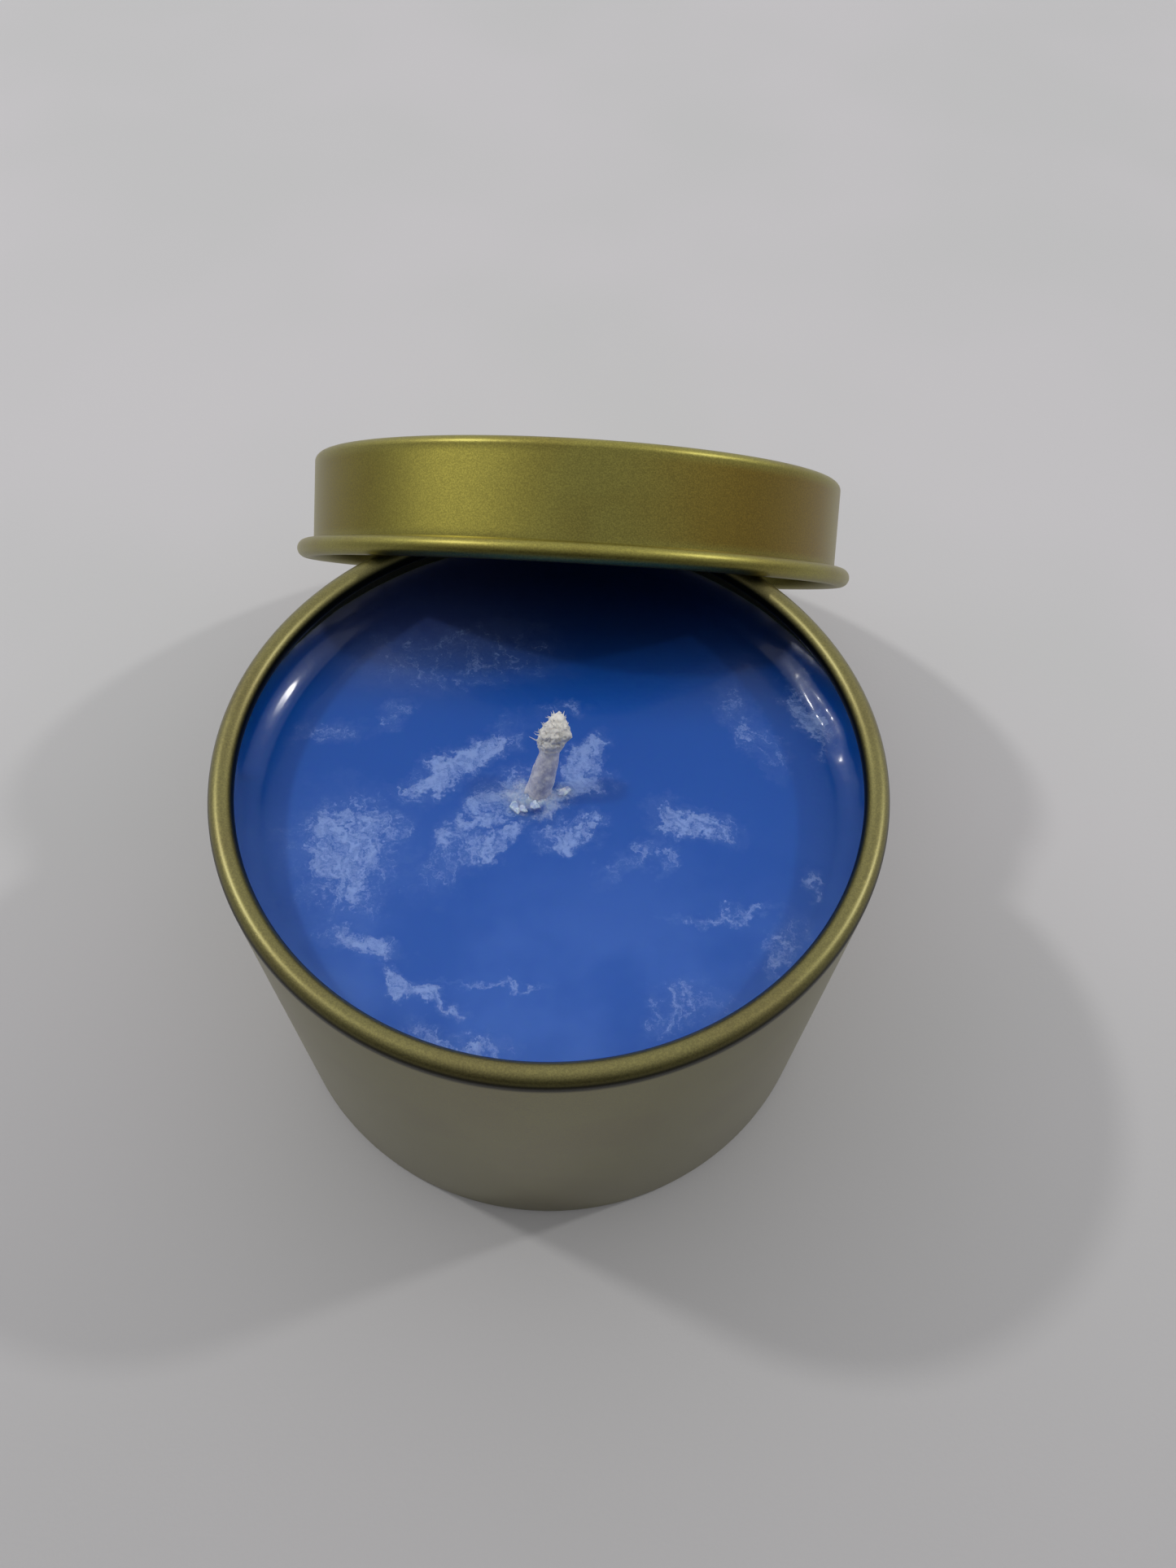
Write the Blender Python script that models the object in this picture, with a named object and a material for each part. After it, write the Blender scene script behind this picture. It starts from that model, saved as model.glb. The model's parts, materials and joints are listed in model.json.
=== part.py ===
"""A round seamless candle tin, filled with wax, with its slip lid leaning on the back of the rim.

The tin stands on z = 0 with its axis on Z and its front towards -Y. Lengths are written in
millimetres and turned into metres by MM.
"""

import math

import bmesh
import bpy
from mathutils import Matrix, Vector

MM = 0.001
TURN_STEPS = 48
GAP = 0.3

# Tin: drawn in one piece, flush wall, mouth edge curled inwards.
SHEET = 0.3
TIN_RADIUS = 38.5
TIN_HEIGHT = 53.5
RIM_CURL_RADIUS = 1.4
RIM_CURL_END = 300.0
TIN_CORNER = 0.8
GROOVE_RADIUS = 31.0
GROOVE_HALF_WIDTH = 1.4
GROOVE_DEPTH = 0.4

# Lid: slips over the tin; its mouth edge is curled outwards into a bead.
LID_CLEARANCE = 0.15
LID_DEPTH = 13.4
LID_BEAD_RADIUS = 1.3
LID_BEAD_END = 125.0
LID_CORNER = 1.1
PANEL_RADIUS = 33.5
PANEL_STEP_WIDTH = 1.0
PANEL_DROP = 0.5

# Lid as it stands: on its bead behind the tin, tipped back over the rim.
LID_TILT = 41.3
LID_TURN = 0.84
LID_CENTRE_X = 0.73
LID_CENTRE_Y = 49.85
LID_FLOOR_GAP = 0.05

# Wax: a level top that climbs the wall in a short concave edge.
WAX_LEVEL = 46.4
WAX_CLIMB = 1.8
WAX_CLIMB_START = 34.2
WAX_CORNER = 0.6

# Wick, with the metal tab that holds its foot and the adhesive pad under the tab.
WICK_X = -1.6
WICK_Y = -1.6
WICK_RADIUS = 1.4
WICK_NECK_RADIUS = 1.15
WICK_HEAD_RADIUS = 1.9
WICK_TIP = (0.6, 3.0, 55.5)
PAD_RADIUS = 9.3
PAD_THICKNESS = 0.8
TAB_RADIUS = 9.7
TAB_NECK_RADIUS = 2.1
TAB_NECK_HEIGHT = 3.0

GOLD = (0.58, 0.45, 0.20, 1.0)
GOLD_LID = (0.60, 0.47, 0.21, 1.0)
BLUE_WAX = (0.07, 0.16, 0.34, 1.0)
COTTON = (0.78, 0.72, 0.60, 1.0)
TINPLATE = (0.62, 0.62, 0.61, 1.0)
ADHESIVE = (0.85, 0.84, 0.80, 1.0)


def clear_scene():
    for obj in list(bpy.data.objects):
        bpy.data.objects.remove(obj, do_unlink=True)


def material(name, colour, roughness, metallic):
    made = bpy.data.materials.new(name)
    made.use_nodes = True
    shader = made.node_tree.nodes["Principled BSDF"]
    shader.inputs["Base Color"].default_value = colour
    shader.inputs["Roughness"].default_value = roughness
    shader.inputs["Metallic"].default_value = metallic
    return made


def arc(centre_r, centre_z, radius, start, end, steps):
    """Points (r, z) on an arc, angles in degrees from the outward direction towards +Z."""
    points = []
    for i in range(steps + 1):
        angle = math.radians(start + (end - start) * i / steps)
        points.append((centre_r + radius * math.cos(angle), centre_z + radius * math.sin(angle)))
    return points


def turned(name, outline, made_of):
    """A solid of revolution about its own Z axis from a closed outline of (r, z) points."""
    shape = bmesh.new()
    points = [shape.verts.new((r * MM, 0.0, z * MM)) for r, z in outline]
    edges = [shape.edges.new(pair) for pair in zip(points, points[1:])]
    if outline[0][0] > 0.0:
        edges.append(shape.edges.new((points[-1], points[0])))
    bmesh.ops.spin(
        shape,
        geom=points + edges,
        cent=(0.0, 0.0, 0.0),
        axis=(0.0, 0.0, 1.0),
        angle=math.tau,
        steps=TURN_STEPS,
        use_merge=True,
    )
    bmesh.ops.remove_doubles(shape, verts=shape.verts, dist=0.001 * MM)
    bmesh.ops.recalc_face_normals(shape, faces=shape.faces)
    mesh = bpy.data.meshes.new(name)
    shape.to_mesh(mesh)
    shape.free()
    mesh.shade_smooth()
    mesh.set_sharp_from_angle(angle=math.radians(35.0))
    mesh.materials.append(made_of)
    obj = bpy.data.objects.new(name, mesh)
    bpy.context.scene.collection.objects.link(obj)
    return obj


def base_groove(height):
    """The stiffening groove pressed up into the base, as one side of the sheet at this height."""
    inner = GROOVE_RADIUS - GROOVE_HALF_WIDTH
    outer = GROOVE_RADIUS + GROOVE_HALF_WIDTH
    crest = height + GROOVE_DEPTH
    return [(inner, height), (GROOVE_RADIUS - 0.4, crest), (GROOVE_RADIUS + 0.4, crest), (outer, height)]


def tin_outline():
    curl_r = TIN_RADIUS - RIM_CURL_RADIUS
    curl_z = TIN_HEIGHT - RIM_CURL_RADIUS
    corner_r = TIN_RADIUS - TIN_CORNER
    outside = [(0.0, 0.0)] + base_groove(0.0)
    outside += arc(corner_r, TIN_CORNER, TIN_CORNER, -90.0, 0.0, 4)
    outside += arc(curl_r, curl_z, RIM_CURL_RADIUS, 0.0, RIM_CURL_END, 10)
    inside = arc(curl_r, curl_z, RIM_CURL_RADIUS - SHEET, RIM_CURL_END, 0.0, 8)
    inside += arc(corner_r, TIN_CORNER, TIN_CORNER - SHEET, 0.0, -90.0, 3)
    inside += list(reversed(base_groove(SHEET))) + [(0.0, SHEET)]
    return outside + inside


def lid_outline():
    """The lid, mouth down, with z = 0 through the middle of its bead."""
    inner_wall = TIN_RADIUS + LID_CLEARANCE
    bead_r = inner_wall + LID_BEAD_RADIUS
    corner_r = inner_wall + SHEET - LID_CORNER
    corner_z = LID_DEPTH - LID_CORNER
    step_end = PANEL_RADIUS + PANEL_STEP_WIDTH
    panel = LID_DEPTH - PANEL_DROP
    outside = [(0.0, panel), (PANEL_RADIUS, panel), (step_end, LID_DEPTH)]
    outside += arc(corner_r, corner_z, LID_CORNER, 90.0, 0.0, 5)
    outside += arc(bead_r, 0.0, LID_BEAD_RADIUS - SHEET, 180.0, 360.0 + LID_BEAD_END, 9)
    inside = arc(bead_r, 0.0, LID_BEAD_RADIUS, 360.0 + LID_BEAD_END, 180.0, 11)
    inside += arc(corner_r, corner_z, LID_CORNER - SHEET, 0.0, 90.0, 4)
    inside += [(step_end, LID_DEPTH - SHEET), (PANEL_RADIUS, panel - SHEET), (0.0, panel - SHEET)]
    return outside + inside


def lid_pose():
    """Where the lid's own frame stands: its bead touches the floor behind the tin."""
    tilt = math.radians(LID_TILT)
    bead_centre = TIN_RADIUS + LID_CLEARANCE + LID_BEAD_RADIUS
    height = bead_centre * math.cos(tilt) + LID_BEAD_RADIUS + LID_FLOOR_GAP
    centre = Vector((LID_CENTRE_X, LID_CENTRE_Y, height)) * MM
    turn = Matrix.Rotation(-math.radians(LID_TURN), 4, "Z")
    tip = Matrix.Rotation(-(math.pi / 2.0 - tilt), 4, "X")
    return Matrix.Translation(centre) @ turn @ tip


def wax_outline():
    wall = TIN_RADIUS - SHEET - GAP
    bottom = SHEET + GAP
    outline = [(0.0, bottom)] + base_groove(bottom)
    outline += arc(wall - WAX_CORNER, bottom + WAX_CORNER, WAX_CORNER, -90.0, 0.0, 3)
    climb_steps = 4
    for i in range(climb_steps + 1):
        across = 1.0 - i / climb_steps
        outline.append((WAX_CLIMB_START + (wall - WAX_CLIMB_START) * across, WAX_LEVEL + WAX_CLIMB * across**2))
    return outline + [(0.0, WAX_LEVEL)]


def wick_foot_heights():
    """(pad bottom, pad top, tab bottom, tab top)"""
    pad_bottom = SHEET + GAP
    pad_top = pad_bottom + PAD_THICKNESS
    tab_bottom = pad_top + GAP
    return pad_bottom, pad_top, tab_bottom, tab_bottom + SHEET


def wick_cavity_outline():
    """What the wax leaves free for the pad, the tab, its neck and the wick."""
    tab_top = wick_foot_heights()[3]
    shoulder = tab_top + GAP
    neck_top = tab_top + TAB_NECK_HEIGHT + GAP
    wide = TAB_RADIUS + GAP
    neck = TAB_NECK_RADIUS + GAP
    bore = WICK_RADIUS + GAP
    above = WAX_LEVEL + 5.0
    return [
        (0.0, -2.0),
        (wide, -2.0),
        (wide, shoulder),
        (neck, shoulder),
        (neck, neck_top),
        (bore, neck_top),
        (bore, above),
        (0.0, above),
    ]


def tab_outline():
    _, _, tab_bottom, tab_top = wick_foot_heights()
    hole = WICK_RADIUS + GAP
    return [
        (hole, tab_bottom),
        (TAB_RADIUS, tab_bottom),
        (TAB_RADIUS, tab_top),
        (TAB_NECK_RADIUS, tab_top),
        (TAB_NECK_RADIUS, tab_top + TAB_NECK_HEIGHT),
        (hole, tab_top + TAB_NECK_HEIGHT),
    ]


def pad_outline():
    bottom, top, _, _ = wick_foot_heights()
    return [(0.0, bottom), (PAD_RADIUS, bottom), (PAD_RADIUS, top), (0.0, top)]


def wick_curve(made_of):
    """The braided wick: straight inside the wax, then bowed over to its frayed tip."""
    foot = Vector((WICK_X, WICK_Y, wick_foot_heights()[2]))
    tip = Vector(WICK_TIP)
    exit_point = Vector((WICK_X, WICK_Y, WAX_LEVEL + 0.5))
    stations = [(foot, WICK_RADIUS), (foot.lerp(exit_point, 0.5), WICK_RADIUS), (exit_point, WICK_RADIUS)]
    free_steps = 10
    for i in range(1, free_steps + 1):
        t = i / free_steps
        point = exit_point.lerp(tip, t)
        bow = (1.0 - t) * t * 1.2
        point.z += bow
        point.y -= bow
        if t < 0.6:
            radius = WICK_RADIUS + (WICK_NECK_RADIUS - WICK_RADIUS) * t / 0.6
        else:
            swell = math.sin(math.pi * (t - 0.6) / 0.5)
            radius = WICK_NECK_RADIUS + (WICK_HEAD_RADIUS - WICK_NECK_RADIUS) * swell
        stations.append((point, radius))
    curve = bpy.data.curves.new("wick", "CURVE")
    curve.dimensions = "3D"
    curve.bevel_depth = MM
    curve.bevel_resolution = 3
    curve.use_fill_caps = True
    line = curve.splines.new("POLY")
    line.points.add(len(stations) - 1)
    for point, (place, radius) in zip(line.points, stations):
        point.co = (*(place * MM), 1.0)
        point.radius = radius
    curve.materials.append(made_of)
    obj = bpy.data.objects.new("wick", curve)
    bpy.context.scene.collection.objects.link(obj)
    return obj


def at_wick(obj):
    obj.location = (WICK_X * MM, WICK_Y * MM, 0.0)


clear_scene()

tin = turned("tin_body", tin_outline(), material("gold_tin", GOLD, 0.32, 1.0))

lid = turned("lid", lid_outline(), material("gold_lid", GOLD_LID, 0.32, 1.0))
lid.matrix_world = lid_pose()

wax = turned("wax_fill", wax_outline(), material("blue_wax", BLUE_WAX, 0.25, 0.0))
cavity = turned("wick_cavity", wick_cavity_outline(), material("cavity", BLUE_WAX, 0.5, 0.0))
at_wick(cavity)
cavity.hide_render = True
cavity.display_type = "WIRE"
cut = wax.modifiers.new("wick_cavity", "BOOLEAN")
cut.operation = "DIFFERENCE"
cut.object = cavity
cut.solver = "EXACT"

wick_curve(material("wick_cotton", COTTON, 0.9, 0.0))
at_wick(turned("wick_tab", tab_outline(), material("tab_tinplate", TINPLATE, 0.35, 1.0)))
at_wick(turned("wick_adhesive_pad", pad_outline(), material("pad_adhesive", ADHESIVE, 0.7, 0.0)))
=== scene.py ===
"""Looks of the candle tin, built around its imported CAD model.

The object's lengths are in millimetres and are turned into metres by MM. The depths of bumps, the depth of
light in the wax and the cotton, and the table's size are in metres. The tin stands on z = 0, its axis on Z.
"""

import json
import math
import random

import bmesh
import bpy
from mathutils import Matrix, Vector, noise


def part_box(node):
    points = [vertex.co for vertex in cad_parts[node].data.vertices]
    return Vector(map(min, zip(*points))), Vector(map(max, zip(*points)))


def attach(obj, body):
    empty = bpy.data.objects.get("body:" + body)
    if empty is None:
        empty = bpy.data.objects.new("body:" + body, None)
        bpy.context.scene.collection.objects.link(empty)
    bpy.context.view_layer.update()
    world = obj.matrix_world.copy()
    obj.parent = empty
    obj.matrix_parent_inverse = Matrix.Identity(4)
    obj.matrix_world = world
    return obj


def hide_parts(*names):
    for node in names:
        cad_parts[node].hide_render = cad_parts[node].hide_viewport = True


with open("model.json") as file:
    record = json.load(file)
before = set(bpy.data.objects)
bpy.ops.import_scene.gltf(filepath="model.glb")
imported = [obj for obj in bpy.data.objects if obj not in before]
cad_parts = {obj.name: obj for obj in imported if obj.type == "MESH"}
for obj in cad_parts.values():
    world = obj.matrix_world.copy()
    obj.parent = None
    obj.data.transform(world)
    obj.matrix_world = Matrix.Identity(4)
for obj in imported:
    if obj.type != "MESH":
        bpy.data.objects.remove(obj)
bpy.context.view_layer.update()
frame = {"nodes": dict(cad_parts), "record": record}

MM = 0.001
TURN_STEPS = 288
SHEET = 0.3
RIM_CURL_RADIUS = 1.4
RIM_CURL_END = 300.0
# Depth under the rim top of the painted shade line on the tin.
RIM_SHADE_LINE_DROP = 1.2
TIN_CORNER = 0.8
GROOVE_RADIUS = 31.0
GROOVE_HALF_WIDTH = 1.4
GROOVE_DEPTH = 0.4
LID_CLEARANCE = 0.15
LID_DEPTH = 13.4
LID_BEAD_RADIUS = 1.3
LID_BEAD_END = 125.0
LID_CORNER = 1.1
PANEL_RADIUS = 33.5
PANEL_STEP_WIDTH = 1.0
PANEL_DROP = 0.5

TIN_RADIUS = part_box("tin_body")[1].x / MM
TIN_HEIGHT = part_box("tin_body")[1].z / MM
WAX_CLIMB = 1.8
WAX_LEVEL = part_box("wax_fill")[1].z / MM - WAX_CLIMB
WICK_X = (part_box("wick_tab")[0].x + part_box("wick_tab")[1].x) / 2.0 / MM
WICK_Y = (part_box("wick_tab")[0].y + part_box("wick_tab")[1].y) / 2.0 / MM
WICK_FOOT_BACK = 0.6
WICK_TIP = Vector((0.65, 3.9, 56.0))

# The camera looks down at the tin from the front; its angles and roll are in degrees.
CAMERA_PLACE = Vector((4.28, -72.65, 160.18))
CAMERA_TIP_UP = 32.73
CAMERA_ROLL = 2.53
CAMERA_LENS = 26.11
LEFT_LAMP = Vector((-808.0, 309.0, 1054.0))
RIGHT_LAMP = Vector((1131.0, 402.0, 1157.0))
LEFT_WATTS = 3.5
RIGHT_WATTS = 4.1
LAMP_ACROSS = 90.0


# ---------------------------------------------------------------- node helpers


class Nodes:
    """A material's node tree, with short calls for the nodes used here."""

    def __init__(self, name):
        self.material = bpy.data.materials.new(name)
        self.material.use_nodes = True
        self.tree = self.material.node_tree
        self.shader = self.tree.nodes["Principled BSDF"]

    def add(self, kind, inputs=None, **settings):
        node = self.tree.nodes.new(kind)
        for key, value in settings.items():
            setattr(node, key, value)
        for key, value in (inputs or {}).items():
            self.set(node.inputs[key], value)
        return node

    def set(self, socket, value):
        if isinstance(value, bpy.types.NodeSocket):
            self.tree.links.new(value, socket)
        else:
            socket.default_value = value

    def math(self, operation, *values):
        node = self.add("ShaderNodeMath", operation=operation)
        for socket, value in zip(node.inputs, values):
            self.set(socket, value)
        return node.outputs[0]

    def vector(self, operation, *values):
        node = self.add("ShaderNodeVectorMath", operation=operation)
        inputs = [socket for socket in node.inputs if socket.enabled]
        for socket, value in zip(inputs, values):
            self.set(socket, value)
        return node.outputs["Value" if operation in ("LENGTH", "DOT_PRODUCT") else "Vector"]

    def axes(self, point):
        return self.add("ShaderNodeSeparateXYZ", {"Vector": point}).outputs

    def place_mm(self):
        """The point on the object in its own frame, in millimetres."""
        point = self.add("ShaderNodeTexCoord").outputs["Object"]
        return self.vector("MULTIPLY", point, (1000.0, 1000.0, 1000.0))

    def noise(self, point, scale, detail, roughness, colour=False):
        inputs = {"Vector": point, "Scale": scale, "Detail": detail, "Roughness": roughness}
        node = self.add("ShaderNodeTexNoise", inputs)
        return node.outputs["Color" if colour else "Fac"]

    def ramp(self, value, low, high, to_low=0.0, to_high=1.0):
        """A smooth change from to_low, where value is low, to to_high, where it is high."""
        inputs = {"Value": value, "From Min": low, "From Max": high, "To Min": to_low, "To Max": to_high}
        return self.add("ShaderNodeMapRange", inputs, interpolation_type="SMOOTHSTEP").outputs["Result"]

    def mix(self, factor, first, second):
        node = self.add("ShaderNodeMix", data_type="RGBA")
        self.set(node.inputs["Factor"], factor)
        colours = [socket for socket in node.inputs if socket.type == "RGBA"]
        self.set(colours[0], first)
        self.set(colours[1], second)
        return [socket for socket in node.outputs if socket.type == "RGBA"][0]

    def bump(self, height, strength, distance):
        inputs = {"Height": height, "Strength": strength, "Distance": distance}
        return self.add("ShaderNodeBump", inputs).outputs["Normal"]

    def surface(self, **values):
        for name, value in values.items():
            self.set(self.shader.inputs[name.replace("_", " ")], value)
        return self.material


# ---------------------------------------------------------------- materials


def gold_lacquer(name, coat, colour, shade_line_height=None):
    """Satin gold lacquer over tinplate: fine metallic grain under a soft clear coat.

    The last argument is the height of a painted shade line around the piece, just under its rolled rim;
    lacquer and coat are darkened there.
    """
    nodes = Nodes(name)
    place = nodes.place_mm()
    axes = nodes.axes(place)
    grain = nodes.noise(place, 5.0, 3.0, 0.7)
    fleck = nodes.noise(place, 14.0, 2.0, 0.6)
    relief = nodes.math("ADD", grain, nodes.math("MULTIPLY", fleck, 0.5))
    tint = colour(nodes, axes["X"], nodes.noise(place, 0.09, 3.0, 0.5))
    shade = nodes.ramp(relief, 0.6, 0.95, 0.8, 1.2)
    # Painted shade: a darkened band just under the rim, with the clear coat taken out there too.
    if shade_line_height:
        left_light = 0.06
        below = nodes.ramp(axes["Z"], shade_line_height - 1.2, shade_line_height - 0.3, 1.0, left_light)
        above = nodes.ramp(axes["Z"], shade_line_height + 0.25, shade_line_height + 0.85, left_light, 1.0)
        outside_painted_shade = nodes.math("MAXIMUM", below, above)
        shade = nodes.math("MULTIPLY", shade, outside_painted_shade)
        coat = nodes.math("MULTIPLY", outside_painted_shade, coat)
    tint = nodes.vector("SCALE", tint, shade)
    return nodes.surface(
        Base_Color=tint,
        Metallic=1.0,
        Roughness=nodes.ramp(grain, 0.3, 0.7, 0.36, 0.44),
        Coat_Weight=coat,
        Coat_Roughness=0.35,
        Normal=nodes.bump(relief, 0.12, 0.00012),
    )


def tin_colour(nodes, _across, cloud):
    """Dull olive gold in two close shades."""
    return nodes.mix(nodes.ramp(cloud, 0.42, 0.66), (0.205, 0.185, 0.058, 1.0), (0.19, 0.165, 0.052, 1.0))


def band(nodes, value, rise, fall):
    """0 outside and 1 inside a soft-edged band, given where it rises and where it falls."""
    return nodes.math("MULTIPLY", nodes.ramp(value, *rise), nodes.ramp(value, *fall, 1.0, 0.0))


def lid_colour_with_painted_reflections(nodes, across, cloud):
    """Olive gold, with painted reflections on its wall: darker yellow at the left, a painted highlight of
    brighter yellow, then brownish gold to the right.
    """
    up = lid_pose().to_3x3() @ Vector((0.0, 0.0, 1.0))
    mouth = up.dot(lid_pose().translation) / MM
    along = nodes.math("SUBTRACT", nodes.vector("DOT_PRODUCT", nodes.place_mm(), tuple(up)), mouth)
    wall = band(nodes, along, (1.0, 2.6), (11.2, 12.6))
    # Painted reflections: a painted highlight left of the middle, brownish to the right and darker at the
    # far left, all on the wall only.
    painted_highlight = nodes.math("MULTIPLY", band(nodes, across, (-27.0, -14.0), (-15.0, 3.0)), wall)
    brown_reflection_fade = nodes.ramp(across, 33.0, 40.0, wall, 0.1)
    painted_brown_reflection = nodes.math("MULTIPLY", nodes.ramp(across, 3.0, 24.0), brown_reflection_fade)
    dark_reflection_fade = nodes.ramp(across, -38.5, -32.0, 0.0, wall)
    painted_dark_reflection = nodes.math("MULTIPLY", nodes.ramp(across, -31.0, -17.0, 0.9, 0.0), dark_reflection_fade)
    tint = nodes.mix(nodes.ramp(cloud, 0.42, 0.66), (0.31, 0.28, 0.062, 1.0), (0.28, 0.24, 0.05, 1.0))
    tint = nodes.mix(painted_highlight, tint, (0.60, 0.53, 0.10, 1.0))
    tint = nodes.mix(painted_brown_reflection, tint, (0.24, 0.165, 0.022, 1.0))
    return nodes.mix(painted_dark_reflection, tint, (0.22, 0.175, 0.008, 1.0))


def cloud_patch(nodes, place, centre, long_half, short_half, angle, strength):
    """A soft-edged oval of frosting, 0 outside and up to strength inside."""
    inputs = {"Vector": place, "Location": (*centre, 0.0)}
    inputs["Rotation"] = (0.0, 0.0, math.radians(angle))
    inputs["Scale"] = (long_half, short_half, 1000.0)
    local = nodes.add("ShaderNodeMapping", inputs, vector_type="TEXTURE").outputs[0]
    return nodes.ramp(nodes.vector("LENGTH", local), 0.35, 1.45, strength, 0.0)


# Frosting on the wax: centre (x, y), half lengths along and across, the turn of its long side in degrees
# and its strength.
FROST = (
    ((-1.9, -2.4), 3.0, 2.5, 0.0, 1.0),
    ((-22.8, -9.8), 8.5, 6.3, -78.0, 0.78),
    ((-9.8, -5.6), 6.0, 1.5, 50.0, 0.8),
    ((-6.0, -7.6), 4.6, 1.5, 42.0, 0.8),
    ((-13.0, 19.0), 12.6, 5.3, 5.0, 0.35),
    ((-11.4, 3.2), 8.2, 2.7, 40.0, 0.95),
    ((-6.8, -2.6), 6.8, 3.0, 46.0, 0.78),
    ((3.2, 4.2), 4.8, 2.0, 42.0, 0.95),
    ((2.6, 0.6), 4.4, 2.0, 30.0, 0.95),
    ((2.2, -6.5), 4.2, 2.1, 22.0, 0.9),
    ((-10.6, -9.2), 6.2, 3.0, 62.0, 0.6),
    ((-18.6, -21.2), 4.8, 1.9, -8.0, 0.85),
    ((-12.3, -26.4), 4.6, 1.3, -22.0, 0.85),
    ((-5.6, -24.7), 5.4, 0.5, 3.0, 0.6),
    ((9.4, -9.0), 5.6, 1.5, 48.0, 0.5),
    ((16.6, -4.4), 6.0, 2.4, -16.0, 0.85),
    ((13.2, -9.2), 2.2, 1.3, 80.0, 0.7),
    ((24.4, 9.4), 6.6, 2.6, -62.0, 0.5),
    ((31.6, 12.2), 6.8, 1.8, -74.0, 0.8),
    ((30.2, -11.6), 2.2, 1.1, 75.0, 0.7),
    ((26.1, -19.2), 3.8, 1.5, 72.0, 0.7),
    ((20.0, -15.8), 6.0, 0.9, 9.0, 0.6),
    ((15.2, -26.8), 4.6, 2.6, 36.0, 0.55),
    ((-7.6, -32.4), 5.4, 1.6, -3.0, 0.75),
    ((-27.6, 6.8), 3.4, 1.9, 14.0, 0.5),
    ((-20.2, 9.6), 3.2, 1.6, 40.0, 0.5),
    ((0.6, 11.3), 3.4, 1.2, 10.0, 0.45),
)


def blue_wax():
    """Glossy blue wax with pale, feathery frosting in patches.

    Its rear is painted darker, for the shade and the reflection of the lid that leans over it.
    """
    nodes = Nodes("blue_wax")
    deep = (0.003, 0.094, 0.47, 1.0)
    mid = (0.050, 0.165, 0.59, 1.0)
    shaded = (0.004, 0.014, 0.085, 1.0)
    shaded_left = (0.035, 0.045, 0.13, 1.0)
    pale = (0.33, 0.47, 0.84, 1.0)
    collar_white = (0.46, 0.56, 0.80, 1.0)
    place = nodes.place_mm()
    axes = nodes.axes(place)
    across = axes["X"]
    depth = axes["Y"]
    bent = place
    for scale, reach in ((0.16, 9.0), (0.7, 3.4), (2.6, 1.1)):
        push = nodes.noise(place, scale, 4.0, 0.6, colour=True)
        push = nodes.vector("SUBTRACT", push, (0.5, 0.5, 0.5))
        bent = nodes.vector("ADD", bent, nodes.vector("MULTIPLY", push, (reach, reach, 0.0)))
    cover = None
    for patch in FROST:
        oval = cloud_patch(nodes, bent, *patch)
        cover = oval if cover is None else nodes.math("MAXIMUM", cover, oval)
    streaks = nodes.add(
        "ShaderNodeMapping",
        {"Vector": bent, "Rotation": (0.0, 0.0, math.radians(40.0)), "Scale": (0.6, 1.25, 1.0)},
        vector_type="TEXTURE",
    ).outputs[0]
    wisps = nodes.noise(streaks, 0.5, 10.0, 0.72)
    feather = nodes.noise(place, 3.4, 5.0, 0.75)
    amount = nodes.math("ADD", nodes.math("MULTIPLY", cover, 0.8), nodes.math("MULTIPLY", wisps, 2.2))
    amount = nodes.math("ADD", amount, nodes.math("MULTIPLY", feather, 0.45))
    frost = nodes.math("MULTIPLY", nodes.ramp(amount, 1.56, 2.2), nodes.ramp(cover, 0.0, 0.2))
    veil = nodes.math("MULTIPLY", cover, nodes.ramp(wisps, 0.3, 0.7, 0.08, 0.42))
    frost = nodes.math("MAXIMUM", frost, veil)
    # Lighter blue in broad drifting patches towards the front of the wax.
    front = nodes.ramp(depth, -34.0, 8.0, 1.0, 0.0)
    drift = nodes.ramp(nodes.noise(place, 0.07, 3.0, 0.55), 0.35, 0.65, 0.35, 1.0)
    lighter_front = nodes.math("MULTIPLY", drift, front)
    colour = nodes.mix(lighter_front, deep, mid)
    rear = nodes.mix(nodes.ramp(across, -16.0, 4.0, 0.8, 0.0), shaded, shaded_left)
    colour = nodes.mix(nodes.ramp(depth, 8.0, 26.0, 0.0, 0.85), colour, rear)
    colour = nodes.mix(nodes.math("MULTIPLY", frost, 0.75), colour, pale)
    to_wick = nodes.vector("SUBTRACT", bent, (WICK_X - 0.5, WICK_Y, 0.0))
    to_wick = nodes.vector("MULTIPLY", to_wick, (1.0, 1.0, 0.0))
    collar = nodes.ramp(nodes.vector("LENGTH", to_wick), 1.5, 3.4, 1.0, 0.0)
    collar = nodes.math("MULTIPLY", collar, nodes.ramp(feather, 0.35, 0.62, 0.25, 0.9))
    colour = nodes.mix(collar, colour, collar_white)
    ripple = nodes.noise(place, 0.22, 3.0, 0.5)
    pits = nodes.noise(place, 3.0, 4.0, 0.7)
    frost_pits = nodes.math("MULTIPLY", pits, frost)
    height = nodes.math("ADD", ripple, nodes.math("MULTIPLY", frost_pits, 0.12))
    frost_rough = nodes.ramp(frost, 0.0, 1.0, 0.32, 0.42)
    rough = nodes.math("ADD", frost_rough, nodes.ramp(pits, 0.3, 0.7, 0.0, 0.05))
    return nodes.surface(
        Base_Color=colour,
        Roughness=rough,
        IOR=1.44,
        Specular_IOR_Level=0.3,
        Coat_Weight=0.2,
        Coat_Roughness=0.09,
        Subsurface_Weight=0.9,
        Subsurface_Radius=(0.35, 0.6, 1.0),
        Subsurface_Scale=0.0035,
        Normal=nodes.bump(height, 0.35, 0.0004),
    )


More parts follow.
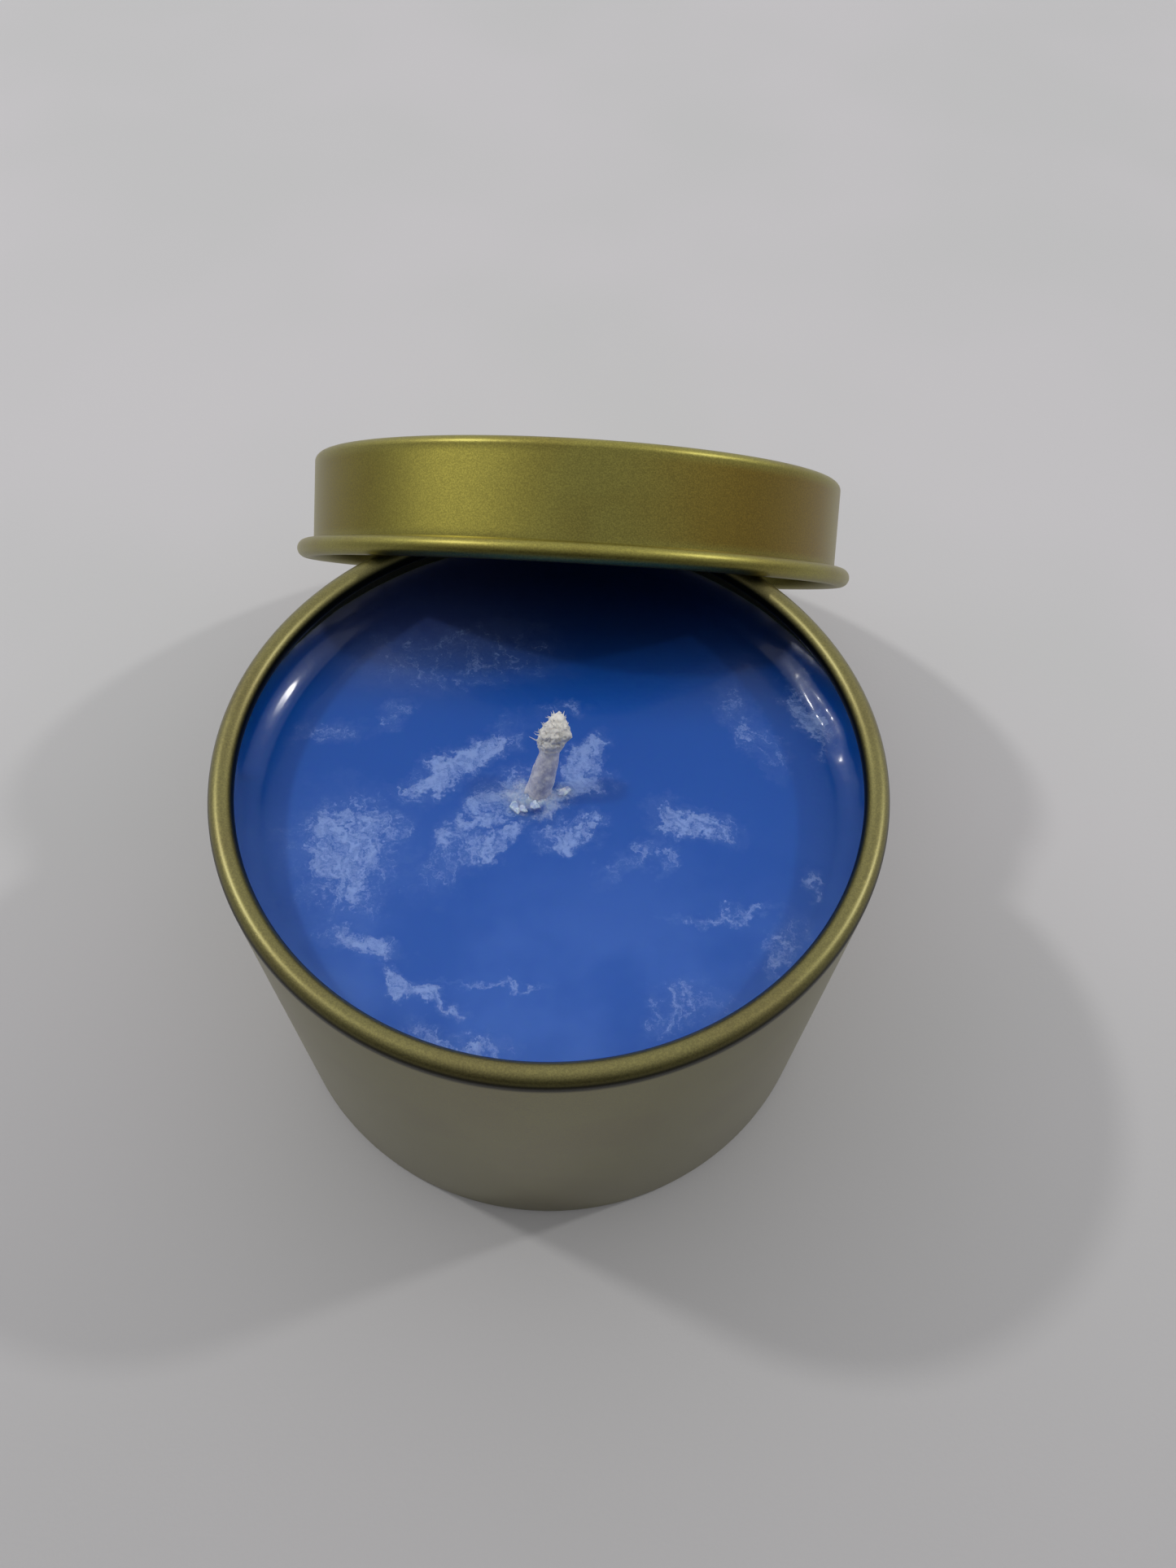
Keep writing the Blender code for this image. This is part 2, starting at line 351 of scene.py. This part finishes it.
def wick_cotton():
    """Cotton yarn: grey and slick where wax has soaked in, pale and dry towards the cut end."""
    nodes = Nodes("wick_cotton")
    place = nodes.place_mm()
    blotch = nodes.noise(place, 0.9, 4.0, 0.6)
    fibre = nodes.noise(nodes.vector("MULTIPLY", place, (7.0, 7.0, 1.6)), 1.0, 4.0, 0.7)
    up = nodes.axes(place)["Z"]
    ragged = nodes.math("ADD", up, nodes.math("MULTIPLY", blotch, 2.4))
    dry = nodes.ramp(ragged, WAX_LEVEL + 5.8, WAX_LEVEL + 8.4)
    waxed = nodes.mix(nodes.ramp(blotch, 0.35, 0.65), (0.86, 0.86, 0.92, 1.0), (0.48, 0.50, 0.68, 1.0))
    cream = nodes.mix(nodes.ramp(blotch, 0.40, 0.70), (0.98, 0.96, 0.91, 1.0), (0.84, 0.82, 0.78, 1.0))
    tint = nodes.mix(dry, waxed, cream)
    shade = nodes.mix(0.5, tint, (0.20, 0.20, 0.22, 1.0))
    tint = nodes.mix(nodes.ramp(fibre, 0.45, 0.7, 0.0, 0.4), tint, shade)
    return nodes.surface(
        Base_Color=tint,
        Roughness=nodes.ramp(dry, 0.0, 1.0, 0.42, 0.85),
        Subsurface_Weight=0.4,
        Subsurface_Radius=(1.0, 0.9, 0.8),
        Subsurface_Scale=0.0008,
        Sheen_Weight=0.2,
        Normal=nodes.bump(fibre, 0.4, 0.00015),
    )


def white_wax():
    """Cloudy pale wax of the flakes that lie around the wick."""
    nodes = Nodes("pale_wax")
    place = nodes.place_mm()
    cloudy = nodes.noise(place, 1.3, 5.0, 0.65)
    colour = nodes.mix(nodes.ramp(cloudy, 0.38, 0.62), (0.34, 0.45, 0.74, 1.0), (0.78, 0.85, 0.95, 1.0))
    return nodes.surface(
        Base_Color=colour,
        Roughness=nodes.ramp(cloudy, 0.3, 0.7, 0.4, 0.6),
        Subsurface_Weight=0.3,
        Subsurface_Scale=0.001,
        Normal=nodes.bump(cloudy, 0.3, 0.0003),
    )


def tinplate():
    """Bare tinplate of the wick tab, finely brushed."""
    nodes = Nodes("tab_tinplate")
    place = nodes.place_mm()
    brushed = nodes.noise(nodes.vector("MULTIPLY", place, (0.6, 9.0, 2.0)), 1.0, 4.0, 0.6)
    tint = nodes.mix(nodes.ramp(brushed, 0.35, 0.7), (0.62, 0.62, 0.60, 1.0), (0.42, 0.42, 0.41, 1.0))
    rough = nodes.ramp(brushed, 0.3, 0.7, 0.28, 0.45)
    normal = nodes.bump(brushed, 0.1, 0.0001)
    return nodes.surface(Base_Color=tint, Metallic=1.0, Roughness=rough, Normal=normal)


def foam_pad():
    """Fine closed-cell foam of the adhesive pad."""
    nodes = Nodes("pad_adhesive")
    pattern = nodes.add("ShaderNodeTexVoronoi", {"Vector": nodes.place_mm(), "Scale": 2.2})
    cells = pattern.outputs["Distance"]
    tint = nodes.mix(nodes.ramp(cells, 0.1, 0.6), (0.70, 0.69, 0.64, 1.0), (0.88, 0.87, 0.83, 1.0))
    rough = nodes.ramp(cells, 0.0, 0.6, 0.6, 0.8)
    return nodes.surface(Base_Color=tint, Roughness=rough, Normal=nodes.bump(cells, 0.3, 0.0002))


def table_paper():
    """Plain pale table top, with painted shade that makes it a little darker in front of the tin."""
    nodes = Nodes("table")
    place = nodes.place_mm()
    broad = nodes.noise(place, 0.012, 2.0, 0.5)
    tint = nodes.mix(nodes.ramp(broad, 0.35, 0.65), (0.655, 0.645, 0.665, 1.0), (0.63, 0.63, 0.64, 1.0))
    # Painted shade, darker towards the front.
    front = nodes.ramp(nodes.axes(place)["Y"], -130.0, 60.0, 1.0, 0.0)
    tint = nodes.mix(front, tint, (0.50, 0.495, 0.505, 1.0))
    grain = nodes.noise(place, 1.6, 3.0, 0.6)
    return nodes.surface(
        Base_Color=tint,
        Roughness=nodes.ramp(grain, 0.3, 0.7, 0.75, 0.9),
        Specular_IOR_Level=0.25,
        Normal=nodes.bump(grain, 0.06, 0.0003),
    )


# ---------------------------------------------------------------- shape helpers


def finish_mesh(name, shape, material, sharp_angle):
    bmesh.ops.recalc_face_normals(shape, faces=shape.faces)
    mesh = bpy.data.meshes.new(name)
    shape.to_mesh(mesh)
    shape.free()
    mesh.shade_smooth()
    mesh.set_sharp_from_angle(angle=math.radians(sharp_angle))
    mesh.materials.append(material)
    obj = bpy.data.objects.new(name, mesh)
    bpy.context.scene.collection.objects.link(obj)
    return obj


def arc(centre_r, centre_z, radius, start, end, steps):
    """Points (r, z) on an arc, angles in degrees from the outward direction towards +Z."""
    points = []
    for i in range(steps + 1):
        angle = math.radians(start + (end - start) * i / steps)
        points.append((centre_r + radius * math.cos(angle), centre_z + radius * math.sin(angle)))
    return points


def turned(name, outline, material):
    """A solid of revolution about its own Z axis from an outline of (r, z) points."""
    shape = bmesh.new()
    points = [shape.verts.new((r * MM, 0.0, z * MM)) for r, z in outline]
    edges = [shape.edges.new(pair) for pair in zip(points, points[1:])]
    bmesh.ops.spin(
        shape,
        geom=points + edges,
        cent=(0.0, 0.0, 0.0),
        axis=(0.0, 0.0, 1.0),
        angle=math.tau,
        steps=TURN_STEPS,
        use_merge=True,
    )
    bmesh.ops.remove_doubles(shape, verts=shape.verts, dist=0.001 * MM)
    return finish_mesh(name, shape, material, 40.0)


def skin(shape, rings):
    """Faces between each ring of points and the next."""
    for low, high in zip(rings, rings[1:]):
        sides = len(low)
        for k in range(sides):
            shape.faces.new((low[k], low[(k + 1) % sides], high[(k + 1) % sides], high[k]))


def skin_closed(shape, rings):
    """Faces between the rings, and one over each end."""
    skin(shape, rings)
    shape.faces.new(list(reversed(rings[0])))
    shape.faces.new(rings[-1])


def tube(shape, centres, radii, sides, lumps=0.0, seed=0.0):
    """Adds a closed tube through the centres, with its surface pushed in and out by lumps."""
    rings = []
    across = None
    for i, centre in enumerate(centres):
        ahead = centres[min(i + 1, len(centres) - 1)] - centres[max(i - 1, 0)]
        ahead.normalize()
        if across is None:
            across = ahead.orthogonal().normalized()
        across = (across - ahead * across.dot(ahead)).normalized()
        other = ahead.cross(across)
        ring = []
        for k in range(sides):
            angle = math.tau * k / sides
            out = across * math.cos(angle) + other * math.sin(angle)
            bump = 1.0 + lumps * noise.noise((centre + out) * 1.9 + Vector((seed, seed, seed)))
            ring.append(shape.verts.new((centre + out * radii[i] * bump) * MM))
        rings.append(ring)
    skin_closed(shape, rings)


def smooth(part):
    return part * part * (3.0 - 2.0 * part)


def between(stations, at):
    """Smooth value at a place along a list of (place, value) stations."""
    for (low, first), (high, second) in zip(stations, stations[1:]):
        if at <= high:
            return first + (second - first) * smooth((at - low) / (high - low))
    return stations[-1][1]


# ---------------------------------------------------------------- tin and lid


def base_groove(height):
    inner = GROOVE_RADIUS - GROOVE_HALF_WIDTH
    width = 2.0 * GROOVE_HALF_WIDTH
    steps = 16
    points = []
    for i in range(steps + 1):
        rise = (1.0 - math.cos(math.tau * i / steps)) / 2.0
        points.append((inner + width * i / steps, height + GROOVE_DEPTH * rise))
    return points


def tin_outline():
    curl_r = TIN_RADIUS - RIM_CURL_RADIUS
    curl_z = TIN_HEIGHT - RIM_CURL_RADIUS
    corner_r = TIN_RADIUS - TIN_CORNER
    outside = [(0.0, 0.0)] + base_groove(0.0)
    outside += arc(corner_r, TIN_CORNER, TIN_CORNER, -90.0, 0.0, 8)
    outside += arc(curl_r, curl_z, RIM_CURL_RADIUS, 0.0, RIM_CURL_END, 40)
    inside = arc(curl_r, curl_z, RIM_CURL_RADIUS - SHEET, RIM_CURL_END, 0.0, 30)
    inside += arc(corner_r, TIN_CORNER, TIN_CORNER - SHEET, 0.0, -90.0, 5)
    inside += list(reversed(base_groove(SHEET))) + [(0.0, SHEET)]
    return outside + inside


def lid_outline():
    """The lid, mouth down, with z = 0 through the middle of its bead."""
    inner_wall = TIN_RADIUS + LID_CLEARANCE
    bead_r = inner_wall + LID_BEAD_RADIUS
    corner_r = inner_wall + SHEET - LID_CORNER
    corner_z = LID_DEPTH - LID_CORNER
    panel = LID_DEPTH - PANEL_DROP
    step = []
    step_points = 10
    for i in range(step_points + 1):
        rise = (1.0 - math.cos(math.pi * i / step_points)) / 2.0
        step.append((PANEL_RADIUS + PANEL_STEP_WIDTH * i / step_points, panel + PANEL_DROP * rise))
    outside = [(0.0, panel)] + step
    outside += arc(corner_r, corner_z, LID_CORNER, 90.0, 0.0, 14)
    outside += arc(bead_r, 0.0, LID_BEAD_RADIUS - SHEET, 180.0, 360.0 + LID_BEAD_END, 36)
    inside = arc(bead_r, 0.0, LID_BEAD_RADIUS, 360.0 + LID_BEAD_END, 180.0, 46)
    inside += arc(corner_r, corner_z, LID_CORNER - SHEET, 0.0, 90.0, 10)
    inside += [(r, z - SHEET) for r, z in reversed(step)] + [(0.0, panel - SHEET)]
    return outside + inside


def lid_pose():
    """The lid's own frame, from the flat panel that the record states on its top."""
    panel = [mount for mount in frame["record"]["mounts"] if mount["name"] == "lid_panel"][0]
    up = Vector(panel["axis"]).normalized()
    side = Vector((up.y, -up.x, 0.0)).normalized()
    front = up.cross(side)
    centre = Vector(panel["pos_m"]) - up * (LID_DEPTH - PANEL_DROP) * MM
    turn = Matrix((side, front, up)).transposed().to_4x4()
    return Matrix.Translation(centre) @ turn


# ---------------------------------------------------------------- wax


WAX_WALL = TIN_RADIUS - SHEET - 0.03
WAX_FLOOR = SHEET + GROOVE_DEPTH + 0.05
WAX_DISH = 0.4
WAX_FOOT_BEVEL = 0.5
SHOULDER_START = 33.95
SHOULDER_WIDTH = 2.75
SHOULDER_HEIGHT = 0.35
STEEP_RISE = 0.96
STEEP_CENTRES = (162.0, 20.0)
STEEP_SPREAD = 19.0
WALL_CLIMB_START = 35.8
WICK_CONE_HEIGHT = 1.1
WICK_CONE_RADIUS = 1.2
CRUMBLED_RADIUS = 3.6


def wax_height(x, y):
    """Height of the wax: a level middle, a raised shoulder along the wall and a small cone at the wick.

    The shoulder rises more steeply around two directions, so that a lamp glints in it there.
    """
    r = math.hypot(x, y)
    angle = math.atan2(y, x)
    side = math.cos(angle)
    height = WAX_LEVEL - WAX_DISH + 0.07 * noise.noise(Vector((x, y, 0.0)) * 0.11)
    wander = noise.noise(Vector((math.cos(angle) * 7.0, math.sin(angle) * 7.0, 3.0)))
    wander += 0.8 * noise.noise(Vector((math.cos(angle) * 24.0, math.sin(angle) * 24.0, 5.0)))
    start = SHOULDER_START - 0.1 * side + 0.28 * wander * max(0.0, side)
    rise = min(1.0, max(0.0, (r - start) / SHOULDER_WIDTH))
    turns = [(math.degrees(angle) - centre) / STEEP_SPREAD for centre in STEEP_CENTRES]
    steep = max(math.exp(-(turn**2)) for turn in turns)
    shoulder = SHOULDER_HEIGHT + STEEP_RISE * steep
    height += shoulder * smooth(rise)
    at_wall = max(0.0, (r - WALL_CLIMB_START) / (WAX_WALL - WALL_CLIMB_START))
    rear = max(0.0, math.sin(angle))
    missing = SHOULDER_HEIGHT + STEEP_RISE - shoulder
    height += (0.25 + 0.55 * rear + 0.12 * wander + 0.6 * missing) * at_wall**2
    from_wick = math.hypot(x - WICK_X, y - WICK_Y)
    height += WICK_CONE_HEIGHT * math.exp(-((max(0.0, from_wick - WICK_CONE_RADIUS) / 0.9) ** 1.4))
    crumbled = math.exp(-((from_wick / CRUMBLED_RADIUS) ** 4))
    height += 0.25 * crumbled * noise.noise(Vector((x, y, 7.0)) * 1.3)
    return height


def ring_of(shape, r, height):
    """A ring of points at radius r, each at the height that height(x, y) gives."""
    ring = []
    for k in range(TURN_STEPS):
        x = r * math.cos(math.tau * k / TURN_STEPS)
        y = r * math.sin(math.tau * k / TURN_STEPS)
        ring.append(shape.verts.new(Vector((x, y, height(x, y))) * MM))
    return ring


def wax_body(material):
    """The wax as one closed body: a finely ringed top, a wall that meets the tin and a flat foot."""
    shape = bmesh.new()
    middle_step = 0.35
    middle_rings = 91
    middle = [middle_step * (i + 1) for i in range(middle_rings)]
    edge_steps = 36
    start = middle[-1]
    edge = [start + (WAX_WALL - start) * (i / edge_steps) for i in range(1, edge_steps + 1)]
    rings = [ring_of(shape, r, wax_height) for r in middle + edge]
    rings.append(ring_of(shape, WAX_WALL, lambda x, y: WAX_FLOOR + WAX_FOOT_BEVEL))
    rings.append(ring_of(shape, WAX_WALL - WAX_FOOT_BEVEL, lambda x, y: WAX_FLOOR))
    skin(shape, rings)
    top = shape.verts.new(Vector((0.0, 0.0, wax_height(0.0, 0.0))) * MM)
    bottom = shape.verts.new(Vector((0.0, 0.0, WAX_FLOOR)) * MM)
    for k in range(TURN_STEPS):
        following = (k + 1) % TURN_STEPS
        shape.faces.new((rings[0][k], rings[0][following], top))
        shape.faces.new((rings[-1][k], rings[-1][following], bottom))
    return finish_mesh("wax_fill_body", shape, material, 60.0)


def wax_crumb(name, x, y, length, width, turn, seed, material):
    """A thin broken flake of wax lying on the surface."""
    shape = bmesh.new()
    corners = 7
    thickness = 0.22
    sunk = 0.1
    height = wax_height(x, y) - sunk
    rings = []
    for level, spread in ((0.0, 1.0), (0.6, 0.92), (1.0, 0.55)):
        ring = []
        for k in range(corners):
            angle = math.tau * k / corners
            rough = 1.0 + 1.3 * noise.noise(Vector((math.cos(angle), math.sin(angle), seed)) * 2.3)
            along = math.cos(angle) * length * spread * rough
            across = math.sin(angle) * width * spread * rough
            px = x + along * math.cos(turn) - across * math.sin(turn)
            py = y + along * math.sin(turn) + across * math.cos(turn)
            lift = 0.12 * noise.noise(Vector((px, py, seed)) * 2.0)
            ring.append(shape.verts.new(Vector((px, py, height + thickness * level + lift)) * MM))
        rings.append(ring)
    skin_closed(shape, rings)
    return finish_mesh(name, shape, material, 30.0)


# ---------------------------------------------------------------- wick


# Places along the wick are t = 0 at the wax to t = 1 at the tip.
WICK_HEAD_START = 0.5
WICK_HEAD_FULL = 0.65
WICK_CORNER = 0.735
WICK_CORNER_SPREAD = 0.05
WICK_CORNER_REACH = 0.36
WICK_RADII = (
    (0.00, 1.62),
    (0.10, 1.50),
    (0.30, 1.42),
    (0.50, 1.16),
    (0.57, 1.32),
    (0.66, 1.54),
    (0.74, 1.62),
    (0.83, 1.28),
    (0.92, 0.80),
    (1.00, 0.10),
)


def wick_point(t):
    """The wick's middle line, bowed between its foot at the wax (t = 0) and its tip (t = 1)."""
    foot = Vector((WICK_X, WICK_Y + WICK_FOOT_BACK, WAX_LEVEL))
    point = foot.lerp(WICK_TIP, t)
    bow = 4.0 * t * (1.0 - t)
    return point + Vector((0.15, -0.25, 0.45)) * bow


def wick_side(angle):
    """The direction out of the wick at an angle around it, about square to its lean."""
    return Vector((math.cos(angle), math.sin(angle) * 0.9, -0.35 * math.sin(angle)))


def wick_reach(t, angle):
    """Radius of the wick: a waxed, faintly braided body and a swollen, ragged head with one corner."""
    head = min(1.0, max(0.0, (t - WICK_HEAD_START) / (WICK_HEAD_FULL - WICK_HEAD_START)))
    braid = abs(math.sin(2.5 * angle + 11.0 * t)) + abs(math.sin(2.5 * angle - 11.0 * t))
    reach = between(WICK_RADII, max(0.0, t)) + 0.045 * (braid - 1.2)
    from_corner = (t - WICK_CORNER) / WICK_CORNER_SPREAD
    corner = math.exp(-(from_corner**2)) * max(0.0, math.cos(angle + 0.25)) ** 3
    place = wick_point(t) + wick_side(angle) * reach
    coarse = noise.noise(place * 0.9 + Vector((3.0, 1.0, 4.0)))
    fine = noise.noise(place * 3.1)
    reach *= 1.0 + (0.05 + 0.17 * head) * coarse + (0.03 + 0.11 * head) * fine
    return max(0.04, reach + WICK_CORNER_REACH * corner)


def wick_core(material):
    """The wick's body, from under the wax to the tip."""
    shape = bmesh.new()
    rings = []
    steps = 130
    sides = 80
    buried = 0.18
    for i in range(steps + 1):
        t = -buried + (1.0 + buried) * i / steps
        ring = []
        for k in range(sides):
            angle = math.tau * k / sides
            ring.append(shape.verts.new((wick_point(t) + wick_side(angle) * wick_reach(t, angle)) * MM))
        rings.append(ring)
    skin_closed(shape, rings)
    return finish_mesh("wick_core", shape, material, 80.0)


def wick_yarns(material):
    """Yarn ends that lie against the head of the wick and run up to its cut end."""
    shape = bmesh.new()
    chance = random.Random(5)
    ends = 26
    for k in range(ends):
        turn = math.tau * k / ends + chance.uniform(-0.1, 0.1)
        first = chance.uniform(0.52, 0.66)
        last = chance.uniform(0.84, 1.0)
        twist = chance.uniform(-0.5, 0.5)
        centres = []
        radii = []
        steps = 14
        for i in range(steps + 1):
            part = i / steps
            t = first + (last - first) * part
            angle = turn + twist * part
            depth = 0.1 + 0.25 * (1.0 - math.sin(math.pi * min(1.0, part + 0.15)))
            centres.append(wick_point(t) + wick_side(angle) * (wick_reach(t, angle) - depth))
            radii.append(0.03 + 0.14 * math.sin(math.pi * min(0.95, part)))
        tube(shape, centres, radii, 10, 0.25, 11.0 + k)
    return finish_mesh("wick_braid", shape, material, 70.0)


def wick_fray(material):
    """Loose fibres on the head of the wick, the longest of them on its left side."""
    shape = bmesh.new()
    chance = random.Random(12)
    fibres = 120
    along = (WICK_TIP - wick_point(0.6)).normalized()
    for _ in range(fibres):
        t = chance.uniform(0.56, 0.95)
        angle = chance.uniform(0.0, math.tau)
        side = wick_side(angle)
        left = max(0.0, -side.x)
        root = wick_point(t) + side * (wick_reach(t, angle) - 0.05)
        reach = chance.uniform(0.2, 0.5) * (1.0 + 1.5 * left * chance.random())
        lean = along * chance.uniform(0.2, 1.0) + side * chance.uniform(0.0, 0.25 + 0.5 * left)
        lean += Vector((-0.55, -0.5, -0.2)) * left * chance.uniform(0.0, 1.0)
        lean.normalize()
        curl = Vector([chance.uniform(-0.3, 0.3) for _ in range(3)])
        centres = [root + lean * reach * s + curl * (reach * s * s) for s in (0.0, 0.25, 0.5, 0.75, 1.0)]
        width = chance.uniform(0.04, 0.09)
        tube(shape, centres, [width, width * 0.9, width * 0.75, width * 0.55, width * 0.2], 6)
    return finish_mesh("wick_frayed_fibres", shape, material, 70.0)


# ---------------------------------------------------------------- stage


def stage_floor():
    half_side = 3.0
    shape = bmesh.new()
    bmesh.ops.create_grid(shape, x_segments=8, y_segments=8, size=half_side)
    floor = finish_mesh("table_top", shape, table_paper(), 30.0)


def lamp(name, place, watts):
    light = bpy.data.lights.new(name, "AREA")
    light.shape = "DISK"
    light.size = LAMP_ACROSS * MM
    light.energy = watts
    light.color = (1.0, 0.985, 0.96)
    obj = bpy.data.objects.new(name, light)
    obj.location = place * MM
    obj.rotation_euler = place.to_track_quat("Z", "Y").to_euler()
    bpy.context.scene.collection.objects.link(obj)


def soft_room():
    """Even light from all round, brighter overhead and behind the object than in front of it."""
    world = bpy.data.worlds.new("soft_room")
    bpy.context.scene.world = world
    world.use_nodes = True
    tree = world.node_tree
    place = tree.nodes.new("ShaderNodeTexCoord")
    towards = tree.nodes.new("ShaderNodeVectorMath")
    towards.operation = "DOT_PRODUCT"
    towards.inputs[1].default_value = (0.0, 0.75, 0.66)
    tree.links.new(place.outputs["Generated"], towards.inputs[0])
    level = tree.nodes.new("ShaderNodeMapRange")
    level.interpolation_type = "SMOOTHSTEP"
    level.inputs["From Min"].default_value = -0.6
    level.inputs["From Max"].default_value = 0.9
    level.inputs["To Min"].default_value = 0.02
    level.inputs["To Max"].default_value = 0.76
    tree.links.new(towards.outputs["Value"], level.inputs["Value"])
    tree.links.new(level.outputs["Result"], tree.nodes["Background"].inputs["Strength"])
    tree.nodes["Background"].inputs["Color"].default_value = (1.0, 0.995, 1.0, 1.0)


def camera():
    made = bpy.data.cameras.new("camera")
    made.lens = CAMERA_LENS
    made.clip_start = 0.01
    obj = bpy.data.objects.new("camera", made)
    tip = Matrix.Rotation(math.radians(CAMERA_TIP_UP), 4, "X")
    roll = Matrix.Rotation(math.radians(CAMERA_ROLL), 4, "Z")
    obj.matrix_world = Matrix.Translation(CAMERA_PLACE * MM) @ tip @ roll
    bpy.context.scene.collection.objects.link(obj)
    bpy.context.scene.camera = obj


# ---------------------------------------------------------------- build

camera()
stage_floor()
soft_room()
lamp("left_lamp", LEFT_LAMP, LEFT_WATTS)
lamp("right_lamp", RIGHT_LAMP, RIGHT_WATTS)
bpy.context.scene.view_settings.view_transform = "Standard"

# The tin's lacquer has a painted shade line just under its rim.
tin_lacquer = gold_lacquer("gold_tin", 0.6, tin_colour, shade_line_height=TIN_HEIGHT - RIM_SHADE_LINE_DROP)
tin = turned("tin_shell", tin_outline(), tin_lacquer)
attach(tin, "tin")
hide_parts("tin_body")

lid_lacquer = gold_lacquer("gold_lid", 0.32, lid_colour_with_painted_reflections)
lid = turned("lid_shell", lid_outline(), lid_lacquer)
lid.data.transform(lid_pose())
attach(lid, "lid")
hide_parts("lid")

wax = wax_body(blue_wax())
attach(wax, "tin")
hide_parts("wax_fill")

# Flakes of wax: name, place (x, y), half length, half width, turn in radians.
crumb_wax = white_wax()
crumbs = (
    ("wax_crumb_left", -4.0, -2.75, 0.9, 0.7, 0.5),
    ("wax_crumb_front", -1.9, -2.9, 0.85, 0.6, 1.3),
    ("wax_crumb_right", 1.2, -0.5, 0.9, 0.55, 0.9),
    ("wax_crumb_small", -3.1, -3.2, 0.5, 0.4, 2.0),
)
for seed, (name, x, y, length, width, turn) in enumerate(crumbs):
    crumb = wax_crumb(name, x, y, length, width, turn, seed * 3.7, crumb_wax)
    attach(crumb, "tin")

cotton = wick_cotton()
core = wick_core(cotton)
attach(core, "tin")
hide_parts("wick")
for piece in (wick_yarns(cotton), wick_fray(cotton)):
    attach(piece, "tin")

frame["nodes"]["wick_tab"].data.materials[0] = tinplate()
frame["nodes"]["wick_adhesive_pad"].data.materials[0] = foam_pad()
